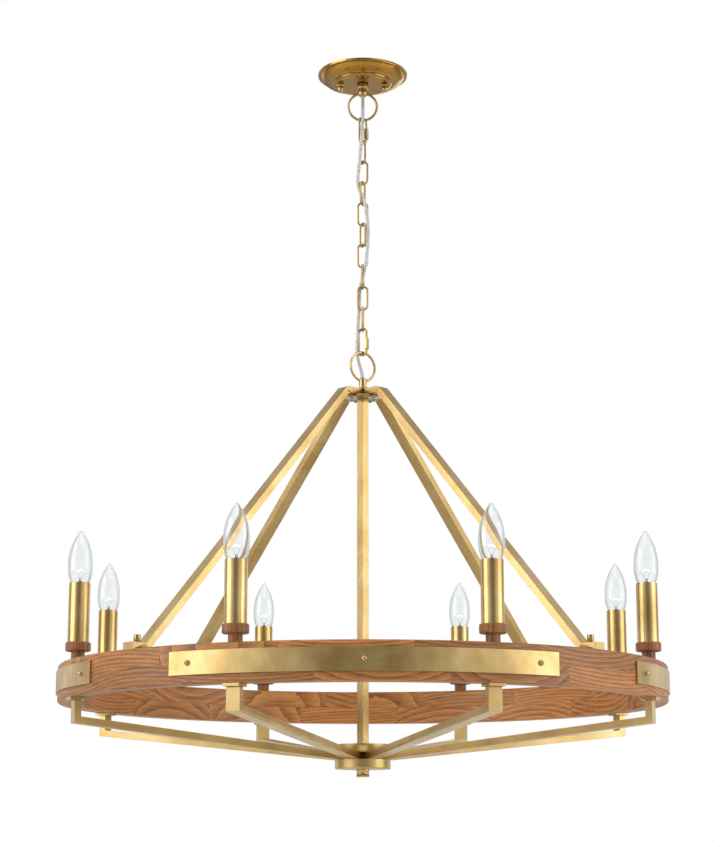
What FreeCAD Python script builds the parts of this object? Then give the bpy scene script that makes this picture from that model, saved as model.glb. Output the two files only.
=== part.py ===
import FreeCAD, Part
import math
import os

# A wagon wheel chandelier: a wooden ring carried by four sloping arms, with eight
# candle lights on it and eight spokes under it, hung on a chain from a ceiling canopy.
#
# Millimetres. Z points up. The origin is the middle of the canopy's ceiling face,
# so everything hangs below z = 0. Azimuth 0 is the front (-Y), 90 is +X.

Vector = FreeCAD.Vector
UP = Vector(0, 0, 1)

# ---------------------------------------------------------------- driving sizes

FACE_GAP = 0.3            # between curved faces of pieces that move on each other
PLAY = 0.1                # radial play of a rod or screw in its hole
BAND_GAP = 0.1            # between the wooden ring and the brass bands on it

# ceiling canopy
CANOPY_R = 70.8
CANOPY_DEPTH = 18.0
CANOPY_WALL = 1.2
CANOPY_LIP = 4.0          # height of the straight lip at the ceiling
CANOPY_LIP_STEP = 4.2     # how far the body stands in from the lip
CANOPY_FLAT_R = 40.0      # radius of the flat bottom
CANOPY_BEAD_R = 46.5      # outer radius of the bead round the flat bottom
CANOPY_BEAD = 3.0

CROSSBAR_LENGTH = 108.0
CROSSBAR_WIDTH = 20.0
CROSSBAR_THICK = 2.5
BOX_SCREW_SPACING = 88.9  # slots for the junction box screws
BOX_SLOT_WIDTH = 5.0
BOX_SLOT_LENGTH = 14.0
STUD_SPACING = 70.0
STUD_R = 2.05
BALL_R = 5.2
BALL_NECK_R = 3.6
BALL_NUT_HEIGHT = 11.0
GROUND_SCREW_X = 22.0
GROUND_SCREW_R = 2.4
GROUND_HEAD_R = 4.4
GROUND_HEAD = 3.2

# threaded lamp pipe: the canopy nipple, the tie pipe and the candle nipples
PIPE_R = 4.75
PIPE_BORE_R = 3.5
NUT_ACROSS = 14.0
NUT_HEIGHT = 4.0

COLLAR_R = 9.4
COLLAR_HEIGHT = 8.0

# the two rings: the canopy loop above and the body loop below
LOOP_R = 22.5             # to the middle of its wire
LOOP_WIRE_R = 2.0
CANOPY_NECK_R = 7.9
CANOPY_NECK = 10.0
LOOP_SUNK = 6.2           # how far the canopy loop's wire reaches up into its neck
BODY_NECK_R = 5.8
BODY_NECK = 10.8          # below the ring
BODY_NECK_RISE = 6.2      # up inside the ring

# chain links and quick links
LINK_WIRE_R = 1.65
LINK_LENGTH = 41.0
LINK_BEND_R = 7.35
LINK_COUNT = 9
QUICK_WIRE_R = 1.75
QUICK_LENGTH = 45.7
QUICK_BEND_R = 7.5
QUICK_NUT_ACROSS = 7.0
QUICK_NUT_LENGTH = 17.0
QUICK_NUT_LOW = -12.5     # lower end of the closed nut, from the link's middle
QUICK_GAP_LOW = -9.5      # the opening that the nut closes
QUICK_GAP = 6.5

# the turn of each piece about the vertical, 0 facing the front
CANOPY_LOOP_TURN = 0.0
QUICK_TOP_TURN = 42.0
LINK_TURNS = [-60.0, 0.0, 64.0, 0.0, -60.0, 0.0, 80.0, 0.0, 84.0]
QUICK_BOTTOM_TURN = -38.0
BODY_LOOP_TURN = 35.0

# supply cord, woven through the chain
CORD_R = 2.75

# rectangular tube of the arms, and the square tube of the stem
BAR_WIDTH = 20.0
BAR_THICK = 10.0
BAR_WALL = 1.2
STEM_SIDE = 12.7
STEM_WALL = 1.1

# top hub
TOP_PLATE_R = 16.0
TOP_PLATE = 2.5
TOP_DISC_R = 25.0
TOP_DISC = 3.0
TOP_SPACER_R = 6.1
UPPER_ARM_IN = 12.0       # radius where the upper arms start
UPPER_ARM_BEND = 40.0     # radius where they turn down
UPPER_BEND_R = 9.0
HUB_SCREW_R = 1.6
HUB_SCREW_HEAD_R = 3.0
HUB_SCREW_HEAD = 1.8
HUB_SCREW_AT = 20.5
HUB_SCREW_SIDE = 5.0

# wooden ring, glued up from two courses of blocks
RIM_R = 450.0
RIM_WIDTH = 28.0
RIM_HEIGHT = 52.4
RIM_DROP = 430.7          # from the top of the hub to the top of the ring
RIM_EDGE = 1.5
RIM_BLOCKS = 16           # in each course
RIM_TURN = 3.0            # how far the blocks' middles stand from the candles' azimuths
FOOT_END_INSET = 3.0      # from the ring's outer face to the upper arms' ends
FOOT_BEND_OUTSIDE = 2.0   # from the ring's inner face to where the upper arms turn level
FOOT_NUT_INSET = 19.0     # from the ring's outer face to the cap nuts' middles
FOOT_NUT_R = 4.75
FOOT_NUT_HEIGHT = 11.0
FOOT_BOLT_R = 2.5
FOOT_BOLT_DEPTH = 38.0
ARM_COUNT = 4

# brass bands on the ring
BAND_COUNT = 4
BAND_HALF_ANGLE = 34.3
BAND_HEIGHT = 30.9
BAND_DROP = 9.3           # below the ring's top
BAND_THICK = 2.4
BAND_SCREW_ANGLES = [-30.5, 0.0, 30.5]
BAND_SCREW_R = 1.8
BAND_SCREW_LENGTH = 18.0
BAND_HEAD_R = 4.0

# candles
CANDLE_COUNT = 8
CANDLE_FIRST = 22.5
NECK_R = 9.7
NECK_HEIGHT = 11.6
CUP_R = 18.0
CUP_HEIGHT = 12.8
CUP_EDGE = 2.0
SLEEVE_R = 15.3
SLEEVE_WALL = 0.8
SLEEVE_HEIGHT = 84.0
SOCKET_R = 11.0
SOCKET_HEIGHT = 45.0
SOCKET_DROP = 5.0         # below the sleeve's top
SOCKET_COLLAR_R = 7.0
SOCKET_COLLAR = 15.0
SOCKET_TAPER = 2.0        # height of the cone between collar and neck
SOCKET_SHOULDER = 3.0     # height of the cone between neck and body
NIPPLE_SHORT = 3.0        # how far the nipple ends below the collar's top
SOCKET_NECK_R = 5.6
SCREW_BASE_R = 5.9        # candelabra screw base
SCREW_BASE_PROUD = 0.5    # above the socket's top
SOCKET_PLAY = 0.4
SOCKET_WELL = 21.0
BULB_R = 17.5
BULB_RISE = 75.3          # the bulb's tip above the sleeve
BULB_WIDEST = 24.0        # height of the widest place above the sleeve
BULB_GLASS = 0.9
BULB_NECK_R = 6.2
BULB_TIP_R = 2.2

# spokes and bottom hub
PLATE_SIDE = 24.0
PLATE_THICK = 4.0
POST_DROP = 36.2          # from the ring's underside to the post's lower corner
SPOKE_IN = 25.0           # radius where the spokes start
SPOKE_BEND = 45.0         # radius where they start to rise
PAN_R = 41.3
PAN_DROP = 132.3          # from the ring's top to the pan's upper edge
PAN_HEIGHT = 13.5
PAN_WALL = 2.0
COVER_R = 40.7
COVER_FOOT_R = 36.0       # the cover's radius at its lower edge
COVER_HEIGHT = 12.5
BOTTOM_SPACER_R = 6.1
FINIAL_R = 10.0
FINIAL_HEIGHT = 11.4
FINIAL_WAIST_R = 9.1

# wires
LEAD_R = 1.5
LEAD_ROUND = 15.0         # how far from a corner the lead starts to turn
LEAD_ENTRY = 3.0          # how far the lead goes up into the socket's body
SPLICE_R = 4.0
SPLICE_LENGTH = 17.0
SPLICE_AT = 15.0
WINDOW = 4.0              # width of the opening for the wires in the tie pipe

# ---------------------------------------------------------------- derived places

def hanging_step(upper_wire_r, lower_wire_r):
    """How much higher the lower piece's wire runs than the wire that carries it."""
    return upper_wire_r + lower_wire_r + FACE_GAP


COLLAR_TOP = -CANOPY_DEPTH
NECK_TOP = COLLAR_TOP - COLLAR_HEIGHT
NECK_LOW = NECK_TOP - CANOPY_NECK
CANOPY_LOOP_Z = NECK_LOW + LOOP_SUNK - LOOP_WIRE_R - LOOP_R

QUICK_HALF = QUICK_LENGTH / 2 - QUICK_WIRE_R
LINK_HALF = LINK_LENGTH / 2 - LINK_WIRE_R
QUICK_TOP_Z = (CANOPY_LOOP_Z - LOOP_R
               + hanging_step(LOOP_WIRE_R, QUICK_WIRE_R) - QUICK_HALF)
FIRST_LINK_Z = (QUICK_TOP_Z - QUICK_HALF
                + hanging_step(QUICK_WIRE_R, LINK_WIRE_R) - LINK_HALF)
LINK_PITCH = 2 * LINK_HALF - hanging_step(LINK_WIRE_R, LINK_WIRE_R)
LINK_ZS = [FIRST_LINK_Z - LINK_PITCH * i for i in range(LINK_COUNT)]
QUICK_BOTTOM_Z = (LINK_ZS[-1] - LINK_HALF
                  + hanging_step(LINK_WIRE_R, QUICK_WIRE_R) - QUICK_HALF)
BODY_LOOP_Z = (QUICK_BOTTOM_Z - QUICK_HALF
               + hanging_step(QUICK_WIRE_R, LOOP_WIRE_R) - LOOP_R)

CANDLE_CIRCLE_R = RIM_R - RIM_WIDTH / 2
FOOT_END_R = RIM_R - FOOT_END_INSET
FOOT_BEND_R = RIM_R - RIM_WIDTH - FOOT_BEND_OUTSIDE
FOOT_NUT_AT = RIM_R - FOOT_NUT_INSET
HUB_TOP = BODY_LOOP_Z - LOOP_R - LOOP_WIRE_R - BODY_NECK
ARM_TOP = HUB_TOP - TOP_PLATE
ARM_LOW = ARM_TOP - BAR_THICK
DISC_LOW = ARM_LOW - TOP_DISC
RIM_TOP = HUB_TOP - RIM_DROP
RIM_LOW = RIM_TOP - RIM_HEIGHT
CUP_LOW = RIM_TOP + NECK_HEIGHT
CUP_TOP = CUP_LOW + CUP_HEIGHT
SLEEVE_TOP = CUP_TOP + SLEEVE_HEIGHT
SOCKET_TOP = SLEEVE_TOP - SOCKET_DROP
SOCKET_LOW = SOCKET_TOP - SOCKET_HEIGHT
WELL_LOW = SOCKET_TOP - SOCKET_WELL
BASE_LOW = WELL_LOW + FACE_GAP
BASE_TOP = SOCKET_TOP + SCREW_BASE_PROUD
PLATE_LOW = RIM_LOW - PLATE_THICK
PAN_TOP = RIM_TOP - PAN_DROP
PAN_LOW = PAN_TOP - PAN_HEIGHT
COVER_LOW = PAN_TOP + BAR_THICK
COVER_TOP = COVER_LOW + COVER_HEIGHT
CANDLES = [CANDLE_FIRST + 360.0 / CANDLE_COUNT * i for i in range(CANDLE_COUNT)]
ARMS = [45.0 + 360.0 / ARM_COUNT * i for i in range(ARM_COUNT)]

# ---------------------------------------------------------------- building tools

def place(az, r, z, side=0.0):
    """A point at an azimuth, a radius and a height, and so far to one side."""
    a = math.radians(az)
    return Vector(r * math.sin(a) + side * math.cos(a),
                  -r * math.cos(a) + side * math.sin(a), z)


def turned_about_z(shape, degrees):
    """The shape, turned about the vertical axis."""
    copy = shape.copy()
    copy.rotate(Vector(0, 0, 0), UP, degrees)
    return copy


def rod(r, z_low, z_high, at=Vector(0, 0, 0)):
    """An upright cylinder."""
    return Part.makeCylinder(r, z_high - z_low, Vector(at.x, at.y, z_low))


def tube(r, bore_r, z_low, z_high, at=Vector(0, 0, 0)):
    """An upright round tube."""
    return rod(r, z_low, z_high, at).cut(rod(bore_r, z_low - 1, z_high + 1, at))


def block(size_x, size_y, z_low, z_high):
    """An upright block, centred on the axis."""
    corner = Vector(-size_x / 2, -size_y / 2, z_low)
    return Part.makeBox(size_x, size_y, z_high - z_low, corner)


def hexagon(across, z_low, z_high, at=Vector(0, 0, 0)):
    """An upright hexagonal bar, by its width across the flats."""
    corner_r = across / math.sqrt(3)
    points = [Vector(at.x + corner_r * math.cos(math.radians(60 * i)),
                     at.y + corner_r * math.sin(math.radians(60 * i)), z_low)
              for i in range(7)]
    return Part.Face(Part.makePolygon(points)).extrude(UP * (z_high - z_low))


def turned(outline, at=Vector(0, 0, 0)):
    """A turned solid. The outline is (radius, z) points; three numbers more, (r, z, 'arc',
    r_mid, z_mid), reach that point by an arc through the middle one."""
    edges = []
    start = outline[-1]
    for point in outline:
        a, b = Vector(start[0], 0, start[1]), Vector(point[0], 0, point[1])
        if len(point) > 2:
            edges.append(Part.Arc(a, Vector(point[3], 0, point[4]), b).toShape())
        elif (b - a).Length > 1e-6:
            edges.append(Part.makeLine(a, b))
        start = point
    solid = Part.Face(Part.Wire(edges)).revolve(Vector(0, 0, 0), UP, 360)
    solid.translate(Vector(at.x, at.y, 0))
    return solid


def side_line(path, bends, offset):
    """A path's parallel at one side: each bend radius 0 is a mitre, else an arc."""
    edges, last = [], None
    count = len(path)
    for i, p in enumerate(path):
        back = (p - path[i - 1]).normalize() if i else None
        ahead = (path[i + 1] - p).normalize() if i < count - 1 else None
        here = back or ahead
        normal = Vector(-here.z, 0, here.x)
        if back is None or ahead is None:
            points = [p + normal * offset]
            arc = None
        else:
            turn = math.atan2(back.x * ahead.z - back.z * ahead.x, back.dot(ahead))
            half = abs(turn) / 2
            bisector = (normal + Vector(-ahead.z, 0, ahead.x)).normalize()
            if bends[i] == 0:
                points = [p + bisector * (offset / math.cos(half))]
                arc = None
            else:
                trim = bends[i] * math.tan(half)
                side = 1 if turn > 0 else -1
                centre = p + bisector * (side * bends[i] / math.cos(half))
                r = bends[i] - side * offset
                points = [p - back * trim + normal * offset,
                          p + ahead * trim + Vector(-ahead.z, 0, ahead.x) * offset]
                arc = centre - bisector * (side * r)
        if last is not None:
            edges.append(Part.makeLine(last, points[0]))
        if arc is not None:
            edges.append(Part.Arc(points[0], arc, points[1]).toShape())
        last = points[-1]
    return edges


def ends_of(edges):
    """The first and the last point of a run of edges."""
    return edges[0].valueAt(edges[0].FirstParameter), edges[-1].valueAt(edges[-1].LastParameter)


def flat_bar(path, bends, thick, width):
    """A bar of rectangular section that follows a path in the plane y = 0."""
    left = side_line(path, bends, thick / 2)
    right = side_line(path, bends, -thick / 2)
    left_start, left_end = ends_of(left)
    right_start, right_end = ends_of(right)
    loop = left + right + [Part.makeLine(left_end, right_end),
                           Part.makeLine(left_start, right_start)]
    face = Part.Face(Part.Wire(Part.__sortEdges__(loop)))
    face.translate(Vector(0, -width / 2, 0))
    return face.extrude(Vector(0, width, 0))


def along(path, start_by, end_by):
    """The path with its ends moved out (or in, if negative) along its own runs."""
    first = path[0] - (path[1] - path[0]).normalize() * start_by
    last = path[-1] + (path[-1] - path[-2]).normalize() * end_by
    return [first] + path[1:-1] + [last]


def to_azimuth(shape, az):
    """Turns a shape made along +X to an azimuth."""
    return turned_about_z(shape, az - 90)


def oval_link(half_length, bend_r, wire_r, z, turn):
    """A link of round wire: two legs and two half-round bends."""
    leg = half_length - bend_r
    parts = [rod(wire_r, z - leg, z + leg, Vector(x, 0, 0)) for x in (bend_r, -bend_r)]
    for sign in (1, -1):
        middle = Vector(0, 0, z + sign * leg)
        section = Part.Face(Part.Wire(Part.makeCircle(wire_r, middle + Vector(bend_r, 0, 0), UP)))
        parts.append(section.revolve(middle, Vector(0, 1, 0), -180 * sign))
    link = parts[0].fuse(parts[1:]).removeSplitter()
    return turned_about_z(link, turn)


def wire_ring(r, wire_r, z):
    """A closed ring of round wire in the plane y = 0."""
    return Part.makeTorus(r, wire_r, Vector(0, 0, z), Vector(0, 1, 0))


def rounded_path(points):
    """Straight runs joined by tangent arcs, and the radii of the arcs."""
    edges, radii = [], []
    last = points[0]
    for before, corner, after in zip(points, points[1:], points[2:]):
        back = (before - corner)
        ahead = (after - corner)
        turn = math.pi - back.getAngle(ahead)
        trim = 0.45 * min(back.Length, ahead.Length)
        radius = trim / math.tan(turn / 2)
        radii.append(radius)
        start = corner + back.normalize() * trim
        end = corner + ahead.normalize() * trim
        middle_way = (start + end) * 0.5 - corner
        reach = radius / math.cos(turn / 2) - radius
        edges.append(Part.makeLine(last, start))
        edges.append(Part.Arc(start, corner + middle_way.normalize() * reach, end).toShape())
        last = end
    edges.append(Part.makeLine(last, points[-1]))
    return Part.Wire(edges), radii


def round_tube(points, r, name):
    """A round cord or wire along a route. Prints its radii, length and volume."""
    path, radii = rounded_path(points)
    section = Part.Wire(Part.makeCircle(r, points[0], points[1] - points[0]))
    solid = path.makePipeShell([section], True, False)
    share = solid.Volume / (math.pi * r * r * path.Length)
    print(name, "length", round(path.Length, 1), "volume share", round(share, 4),
          "least radius", round(min(radii), 1))
    return solid


def group(solids):
    """Several separate solids in one node."""
    return Part.makeCompound(solids)


# ---------------------------------------------------------------- ceiling pieces

def canopy():
    """A pressed pan: lip, stepped body, bead and flat bottom, open to the ceiling."""
    body_r = CANOPY_R - CANOPY_LIP_STEP
    bead_top = -CANOPY_DEPTH + CANOPY_BEAD

    def outline(inset):
        """The outer form for inset 0, the inner one for the wall's thickness."""
        sweep_r = (body_r + CANOPY_BEAD_R) / 2 + 3.0 - inset
        sweep_z = (bead_top - CANOPY_LIP) / 2 - 2.6 + inset
        return [
            (0, 0 if inset == 0 else 1),
            (CANOPY_R - inset, 0 if inset == 0 else 1),
            (CANOPY_R - inset, -CANOPY_LIP + 1.5 + inset / 2),
            (CANOPY_R - 1.5 - inset, -CANOPY_LIP + inset, "arc",
             CANOPY_R - 0.44 - inset, -CANOPY_LIP + 0.44 + inset * 0.8),
            (body_r - inset, -CANOPY_LIP + inset),
            (CANOPY_BEAD_R - inset, bead_top + inset, "arc", sweep_r, sweep_z),
            (CANOPY_FLAT_R - inset, -CANOPY_DEPTH + inset, "arc",
             CANOPY_BEAD_R - 1.3 - inset, -CANOPY_DEPTH + 0.7 + inset),
            (0, -CANOPY_DEPTH + inset),
        ]

    pan = turned(outline(0)).cut(turned(outline(CANOPY_WALL)))
    pan = pan.cut(rod(PIPE_R + PLAY, -CANOPY_DEPTH - 1, 1))
    for at in stud_places():
        pan = pan.cut(rod(STUD_R + PLAY, -CANOPY_DEPTH - 1, 1, at))
    return pan


def stud_places():
    return [Vector(sign * STUD_SPACING / 2, 0, 0) for sign in (-1, 1)]


def ceiling_crossbar():
    """The steel strap that is screwed to the junction box."""
    bar = block(CROSSBAR_LENGTH, CROSSBAR_WIDTH, -CROSSBAR_THICK, 0)
    for sign in (-1, 1):
        middle = sign * BOX_SCREW_SPACING / 2
        half = (BOX_SLOT_LENGTH - BOX_SLOT_WIDTH) / 2
        slot = block(2 * half, BOX_SLOT_WIDTH, -CROSSBAR_THICK - 1, 1)
        slot = slot.fuse([rod(BOX_SLOT_WIDTH / 2, -CROSSBAR_THICK - 1, 1, Vector(x, 0, 0))
                          for x in (-half, half)])
        slot.translate(Vector(middle, 0, 0))
        bar = bar.cut(slot)
    holes = [rod(PIPE_R + PLAY, -CROSSBAR_THICK - 1, 1),
             rod(GROUND_SCREW_R + PLAY, -CROSSBAR_THICK - 1, 1, Vector(GROUND_SCREW_X, 0, 0))]
    holes += [rod(STUD_R + PLAY, -CROSSBAR_THICK - 1, 1, at) for at in stud_places()]
    return bar.cut(holes)


def ground_screw():
    at = Vector(GROUND_SCREW_X, 0, 0)
    head = rod(GROUND_HEAD_R, -CROSSBAR_THICK - GROUND_HEAD, -CROSSBAR_THICK, at)
    slot = block(2 * GROUND_HEAD_R + 2, 1.0, -CROSSBAR_THICK - GROUND_HEAD - 1,
                 -CROSSBAR_THICK - GROUND_HEAD + 1.2)
    slot.translate(at)
    return head.fuse(rod(GROUND_SCREW_R, -CROSSBAR_THICK, 0, at)).removeSplitter().cut(slot)


def canopy_studs():
    low = -CANOPY_DEPTH - BALL_NUT_HEIGHT * 0.6
    return group([rod(STUD_R, low, 0, at) for at in stud_places()])


def canopy_ball_nuts():
    """Turned ball nuts that hold the canopy up on its studs."""
    top = -CANOPY_DEPTH
    ball_z = top - BALL_NUT_HEIGHT + BALL_R
    joint_z = ball_z + math.sqrt(BALL_R ** 2 - BALL_NECK_R ** 2)
    bore_top = top - BALL_NUT_HEIGHT * 0.6 - PLAY
    nuts = []
    for at in stud_places():
        nut = turned([(0, top), (BALL_NECK_R + 1.0, top), (BALL_NECK_R, top - 1.2),
                      (BALL_NECK_R, joint_z),
                      (0, ball_z - BALL_R, "arc",
                       BALL_R * math.cos(math.radians(10)),
                       ball_z - BALL_R * math.sin(math.radians(10)))], at)
        nuts.append(nut.cut(rod(STUD_R + PLAY, bore_top, top + 1, at)))
    return group(nuts)


def canopy_nipple():
    return tube(PIPE_R, PIPE_BORE_R, NECK_LOW + 2.0, -FACE_GAP)


def nipple_locknut():
    nut = hexagon(NUT_ACROSS, -CROSSBAR_THICK - NUT_HEIGHT, -CROSSBAR_THICK)
    return nut.cut(rod(PIPE_R + PLAY, -CROSSBAR_THICK - NUT_HEIGHT - 1, 0))


def canopy_collar():
    """The beaded ring nut under the canopy."""
    low = COLLAR_TOP - COLLAR_HEIGHT
    waist = COLLAR_R - 2.6
    bead = turned([(0, COLLAR_TOP), (waist, COLLAR_TOP), (waist, COLLAR_TOP - 1.6),
                   (waist, low + 1.2, "arc", COLLAR_R, (COLLAR_TOP + low) / 2 - 0.2),
                   (waist, low), (0, low)])
    return bead.cut(rod(PIPE_R + PLAY, low - 1, COLLAR_TOP + 1))


def canopy_loop():
    """The upper ring with its neck, screwed on the nipple."""
    waist = CANOPY_NECK_R - 1.2
    neck = turned([(0, NECK_TOP), (waist, NECK_TOP), (waist, NECK_TOP - 1.5),
                   (waist, NECK_LOW + 0.8, "arc", CANOPY_NECK_R, (NECK_TOP + NECK_LOW) / 2 - 0.3),
                   (waist - 0.8, NECK_LOW), (0, NECK_LOW)])
    ring = wire_ring(LOOP_R, LOOP_WIRE_R, CANOPY_LOOP_Z)
    loop = neck.fuse(ring).removeSplitter()
    loop = loop.cut([rod(PIPE_R + PLAY, NECK_LOW + 2.0, NECK_TOP + 1),
                     rod(PIPE_BORE_R, NECK_LOW - 3, NECK_TOP)])
    return turned_about_z(loop, CANOPY_LOOP_TURN)


# ---------------------------------------------------------------- chain pieces

def quick_link(z, turn):
    """An oval link whose right leg has an opening that its nut closes."""
    link = oval_link(QUICK_HALF, QUICK_BEND_R, QUICK_WIRE_R, z, 0)
    gap = rod(QUICK_WIRE_R + 1, z + QUICK_GAP_LOW, z + QUICK_GAP_LOW + QUICK_GAP,
              Vector(QUICK_BEND_R, 0, 0))
    return turned_about_z(link.cut(gap), turn)


def quick_link_nut(z, turn):
    """The long hexagonal nut on the quick link's threaded leg."""
    at = Vector(QUICK_BEND_R, 0, 0)
    low, high = z + QUICK_NUT_LOW, z + QUICK_NUT_LOW + QUICK_NUT_LENGTH
    nut = hexagon(QUICK_NUT_ACROSS, low, high, at)
    corner = QUICK_NUT_ACROSS / math.sqrt(3)
    easing = turned([(0, low), (corner - 0.6, low), (corner, low + 0.9), (corner, high - 0.9),
                     (corner - 0.6, high), (0, high)], at)
    nut = nut.common(easing).cut(rod(QUICK_WIRE_R + PLAY, low - 1, high + 1, at))
    return turned_about_z(nut, turn)


def supply_cord():
    """The cord, from the canopy's nipple through the links to the body loop's neck."""
    return round_tube([Vector(*p) for p in CORD_ROUTE], CORD_R, "supply_cord")


# The route is chosen by hand to follow the photograph: x, y, z of each turning point.
CORD_ROUTE = [
    (0.0, 0.0, -31.0),
    (0.1, -1.2, -47.0),
    (0.0, -5.6, -64.0),
    (-0.2, -7.6, -80.0),
    (-1.1, -8.1, -96.0),
    (-2.2, -8.8, -113.0),
    (-3.7, -7.3, -130.0),
    (-5.0, -6.3, -147.0),
    (-6.6, -6.0, -164.0),
    (-8.5, -4.7, -181.0),
    (-3.2, -0.4, -198.0),
    (3.3, -5.6, -215.0),
    (5.8, -5.4, -232.0),
    (8.2, -4.8, -249.0),
    (8.5, -4.3, -266.0),
    (8.3, -4.7, -283.0),
    (6.3, -5.3, -300.0),
    (4.5, -5.9, -317.0),
    (0.1, -0.2, -334.0),
    (-4.3, 5.6, -351.0),
    (-5.2, 5.4, -368.0),
    (-5.9, 5.2, -386.0),
    (-6.6, 1.6, -403.0),
    (-7.9, -0.6, -421.0),
    (-8.4, -0.3, -439.0),
    (-9.0, 0.5, -457.0),
    (-6.0, 0.5, -473.0),
    (-1.3, 0.2, -487.0),
    (0.0, 0.0, -500.0),
    (0.2, 0.1, -511.0),
]


# ---------------------------------------------------------------- top of the wheel

def body_loop():
    """The lower ring with its hollow neck, screwed on the tie pipe."""
    ring = wire_ring(LOOP_R, LOOP_WIRE_R, BODY_LOOP_Z)
    top = BODY_LOOP_Z - LOOP_R - LOOP_WIRE_R + BODY_NECK_RISE
    neck = turned([(0, top), (BODY_NECK_R - 1.0, top), (BODY_NECK_R, top - 1.0),
                   (BODY_NECK_R, HUB_TOP + 1.5), (BODY_NECK_R + 1.5, HUB_TOP),
                   (0, HUB_TOP)])
    loop = neck.fuse(ring).removeSplitter()
    loop = loop.cut([rod(PIPE_R + PLAY, HUB_TOP - 1, HUB_TOP + 6.0),
                     rod(PIPE_BORE_R, HUB_TOP, top + 5)])
    return turned_about_z(loop, BODY_LOOP_TURN)


def hub_top_plate():
    return tube(TOP_PLATE_R, PIPE_R + PLAY, ARM_TOP, HUB_TOP)


def hub_top_spacer():
    return tube(TOP_SPACER_R, PIPE_R + PLAY, ARM_LOW, ARM_TOP)


def hub_top_disc():
    disc = tube(TOP_DISC_R, PIPE_R + PLAY, DISC_LOW, ARM_LOW)
    holes = [rod(HUB_SCREW_R + PLAY, DISC_LOW - 1, ARM_LOW + 1, at)
             for at in hub_screw_places()]
    return disc.cut(holes)


def hub_screw_places():
    return [place(az, HUB_SCREW_AT, 0, side)
            for az in ARMS for side in (-HUB_SCREW_SIDE, HUB_SCREW_SIDE)]


def hub_arm_screws():
    """Screws from under the disc into the arms' lower wall."""
    screws = []
    for at in hub_screw_places():
        head = rod(HUB_SCREW_HEAD_R, DISC_LOW - HUB_SCREW_HEAD, DISC_LOW, at)
        shank = rod(HUB_SCREW_R, DISC_LOW, ARM_LOW + 2 * BAR_WALL, at)
        screws.append(head.fuse(shank).removeSplitter())
    return group(screws)


def upper_arms():
    """Four rectangular tubes: level on the hub, sloping down, level on the ring."""
    level_top = ARM_TOP - BAR_THICK / 2
    level_foot = RIM_TOP + BAR_THICK / 2
    path = [Vector(UPPER_ARM_IN, 0, level_top), Vector(UPPER_ARM_BEND, 0, level_top),
            Vector(FOOT_BEND_R, 0, level_foot), Vector(FOOT_END_R, 0, level_foot)]
    bends = [0, UPPER_BEND_R, 0, 0]
    outer = flat_bar(path, bends, BAR_THICK, BAR_WIDTH)
    hollow = flat_bar(along(path, 1.0, -BAR_WALL), bends,
                      BAR_THICK - 2 * BAR_WALL, BAR_WIDTH - 2 * BAR_WALL)
    arm = outer.cut(hollow)
    arm = arm.cut(rod(FOOT_BOLT_R + PLAY, RIM_TOP - 1, RIM_TOP + BAR_THICK + 1,
                      Vector(FOOT_NUT_AT, 0, 0)))
    for side in (-HUB_SCREW_SIDE, HUB_SCREW_SIDE):
        arm = arm.cut(rod(HUB_SCREW_R + PLAY, ARM_LOW - 1, ARM_LOW + 2 * BAR_WALL + PLAY,
                          Vector(HUB_SCREW_AT, side, 0)))
    return group([to_azimuth(arm, az) for az in ARMS])


def foot_nuts():
    """Turned cap nuts on the arms' feet."""
    low = RIM_TOP + BAR_THICK
    high = low + FOOT_NUT_HEIGHT
    nuts = []
    for az in ARMS:
        at = place(az, FOOT_NUT_AT, 0)
        nut = turned([(0, low), (FOOT_NUT_R, low), (FOOT_NUT_R, high - 0.8),
                      (FOOT_NUT_R - 0.8, high), (0, high)], at)
        nuts.append(nut.cut(rod(FOOT_BOLT_R + PLAY, low - 1, high - 2.5, at)))
    return group(nuts)


def foot_bolts():
    """Hanger bolts, from inside the wooden ring up into the cap nuts."""
    high = RIM_TOP + BAR_THICK + FOOT_NUT_HEIGHT - 3.0
    return group([rod(FOOT_BOLT_R, RIM_TOP - FOOT_BOLT_DEPTH, high,
                      place(az, FOOT_NUT_AT, 0)) for az in ARMS])


def stem_tube():
    """The square stem, with an edge to the front as the photograph shows it."""
    outer = block(STEM_SIDE, STEM_SIDE, COVER_TOP, DISC_LOW)
    inner = block(STEM_SIDE - 2 * STEM_WALL, STEM_SIDE - 2 * STEM_WALL,
                  COVER_TOP - 1, DISC_LOW + 1)
    return turned_about_z(outer.cut(inner), 45)


def wire_window():
    """The opening across the tie pipe and its spacer, for the cores, inside the pan."""
    return block(4 * PIPE_R, WINDOW, PAN_LOW + PAN_WALL + 1.0, PAN_TOP - 2.0)


def tie_pipe():
    """The threaded pipe that draws the whole wheel together on its axis."""
    pipe = tube(PIPE_R, PIPE_BORE_R, PAN_LOW - FINIAL_HEIGHT * 0.6, HUB_TOP + 5.5)
    return pipe.cut(wire_window())


def stem_lead():
    """The cord's cores inside the tie pipe, down to the bottom hub."""
    return rod(CORD_R, PAN_LOW + PAN_WALL + FACE_GAP, CORD_ROUTE[-1][2] - FACE_GAP)


# ---------------------------------------------------------------- wooden ring

def band_screw_azimuths():
    return [360.0 / BAND_COUNT * i + a for i in range(BAND_COUNT) for a in BAND_SCREW_ANGLES]


def band_middle_z():
    return RIM_TOP - BAND_DROP - BAND_HEIGHT / 2


def screw_hole(az, r):
    """A level hole through the ring's outer face."""
    start = place(az, RIM_R + BAND_THICK + 2, band_middle_z())
    return Part.makeCylinder(r, BAND_THICK + 2 + BAND_SCREW_LENGTH, start,
                             place(az, -1, 0))


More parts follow.
